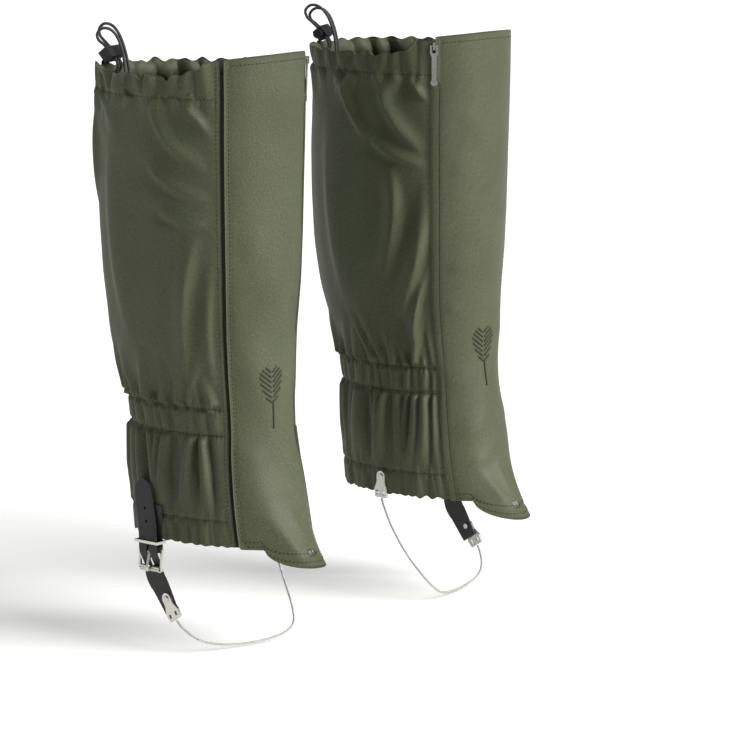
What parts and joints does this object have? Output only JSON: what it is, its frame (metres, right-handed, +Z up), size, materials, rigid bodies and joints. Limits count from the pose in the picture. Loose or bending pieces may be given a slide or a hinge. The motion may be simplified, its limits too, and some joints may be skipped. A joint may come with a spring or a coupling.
{
  "type": "gaiters",
  "caption": "Knee-high walking gaiters in olive twill with a zipped front seam, drawcord top, elastic ankle and hem, buckled strap and a wire stirrup under the boot",
  "frame": {"origin": "midway between the two leg openings, level with the lower edge of the rims plus 3 mm", "axes": "+Z up the legs, -Y the way the toes and shins point, +X towards the wearer's left gaiter"},
  "size_m": [0.4006, 0.2273, 0.4967],
  "materials": {
    "olive_fabric": "closely woven olive twill, matt with a slight sheen",
    "dark_fabric": "darker olive woven band, matt",
    "elastic_tape": "black woven elastic",
    "zip_tape": "black zip tape and coil",
    "cord": "braided dark grey cord",
    "black_plastic": "moulded black plastic",
    "black_strap": "charcoal coated webbing with a smooth, slightly soft face",
    "nickel": "bright nickel plate",
    "steel_wire": "stranded steel wire",
    "spring_steel": "plain spring steel"
  },
  "bodies": {
    "gaiters": {"left_side_back_panel": "olive_fabric", "left_front_panel": "olive_fabric", "left_outer_band": "dark_fabric", "left_ankle_elastic": "elastic_tape", "left_hem_elastic": "elastic_tape", "left_zip_half_side": "zip_tape", "left_zip_half_front": "zip_tape", "left_zip_bottom_box": "black_plastic", "left_drawcord": "cord", "left_cord_lock_body": "black_plastic", "left_cord_lock_spring": "spring_steel", "left_lace_hook": "nickel", "left_buckle_tab": "black_strap", "left_buckle_frame": "nickel", "left_strap_keeper": "nickel", "left_adjusting_strap": "black_strap", "left_outer_clip": "nickel", "left_outer_clip_rivet": "nickel", "left_inner_clip": "nickel", "left_inner_clip_rivet": "nickel", "right_side_back_panel": "olive_fabric", "right_front_panel": "olive_fabric", "right_outer_band": "dark_fabric", "right_ankle_elastic": "elastic_tape", "right_hem_elastic": "elastic_tape", "right_zip_half_side": "zip_tape", "right_zip_half_front": "zip_tape", "right_zip_bottom_box": "black_plastic", "right_drawcord": "cord", "right_cord_lock_body": "black_plastic", "right_cord_lock_spring": "spring_steel", "right_lace_hook": "nickel", "right_buckle_tab": "black_strap", "right_buckle_frame": "nickel", "right_strap_keeper": "nickel", "right_adjusting_strap": "black_strap", "right_outer_clip": "nickel", "right_outer_clip_rivet": "nickel", "right_inner_clip": "nickel", "right_inner_clip_rivet": "nickel"},
    "left_zip_slider": {"left_zip_slider": "nickel"},
    "left_zip_pull": {"left_zip_pull": "nickel"},
    "left_lock_button": {"left_cord_lock_button": "black_plastic"},
    "left_prong": {"left_buckle_prong": "nickel"},
    "left_roller": {"left_buckle_roller": "nickel"},
    "left_stirrup": {"left_stirrup_wire": "steel_wire"},
    "right_zip_slider": {"right_zip_slider": "nickel"},
    "right_zip_pull": {"right_zip_pull": "nickel"},
    "right_lock_button": {"right_cord_lock_button": "black_plastic"},
    "right_prong": {"right_buckle_prong": "nickel"},
    "right_roller": {"right_buckle_roller": "nickel"},
    "right_stirrup": {"right_stirrup_wire": "steel_wire"}
  },
  "joints": [
    {"name": "left_zip_slide", "type": "slide", "parent": "gaiters", "child": "left_zip_slider", "axis": [0.0241, 0.0163, -0.9996], "range_m": [0, 0.18]},
    {"name": "left_zip_pull_swing", "type": "hinge", "parent": "left_zip_slider", "child": "left_zip_pull", "pos_m": [0.07796, -0.06782, 0.00495], "axis": [-0.6714, 0.7411, -0.0041], "range_deg": [0, 120]},
    {"name": "left_lock_button_press", "type": "slide", "parent": "gaiters", "child": "left_lock_button", "axis": [0.9166, 0.3998, 0], "range_m": [0, 0.003], "stiffness_N_per_m": 400, "springref_m": -0.002, "deforming": ["left_cord_lock_spring"]},
    {"name": "left_prong_lift", "type": "hinge", "parent": "gaiters", "child": "left_prong", "pos_m": [0.1883, 0.0022, -0.386], "axis": [0, -1, 0], "range_deg": [0, 90]},
    {"name": "left_roller_turn", "type": "hinge", "parent": "gaiters", "child": "left_roller", "pos_m": [0.1896, 0.0022, -0.402], "axis": [0, 1, 0], "continuous": true},
    {"name": "left_stirrup_swing", "type": "hinge", "parent": "gaiters", "child": "left_stirrup", "pos_m": [0.1882, -0.02502, -0.44104], "axis": [-0.8912, 0.0703, 0.4482], "range_deg": [-70, 20]},
    {"name": "right_zip_slide", "type": "slide", "parent": "gaiters", "child": "right_zip_slider", "axis": [-0.0241, 0.0163, -0.9996], "range_m": [0, 0.18]},
    {"name": "right_zip_pull_swing", "type": "hinge", "parent": "right_zip_slider", "child": "right_zip_pull", "pos_m": [-0.07796, -0.06782, 0.00495], "axis": [-0.6714, -0.7411, 0.0041], "range_deg": [0, 120]},
    {"name": "right_lock_button_press", "type": "slide", "parent": "gaiters", "child": "right_lock_button", "axis": [-0.9649, -0.2628, 0], "range_m": [0, 0.003], "stiffness_N_per_m": 400, "springref_m": -0.002, "deforming": ["right_cord_lock_spring"]},
    {"name": "right_prong_lift", "type": "hinge", "parent": "gaiters", "child": "right_prong", "pos_m": [-0.1883, 0.0022, -0.386], "axis": [0, 1, 0], "range_deg": [0, 90]},
    {"name": "right_roller_turn", "type": "hinge", "parent": "gaiters", "child": "right_roller", "pos_m": [-0.1896, 0.0022, -0.402], "axis": [0, 1, 0], "continuous": true},
    {"name": "right_stirrup_swing", "type": "hinge", "parent": "gaiters", "child": "right_stirrup", "pos_m": [-0.1882, -0.02502, -0.44104], "axis": [-0.8912, -0.0703, -0.4482], "range_deg": [-70, 20]}
  ]
}
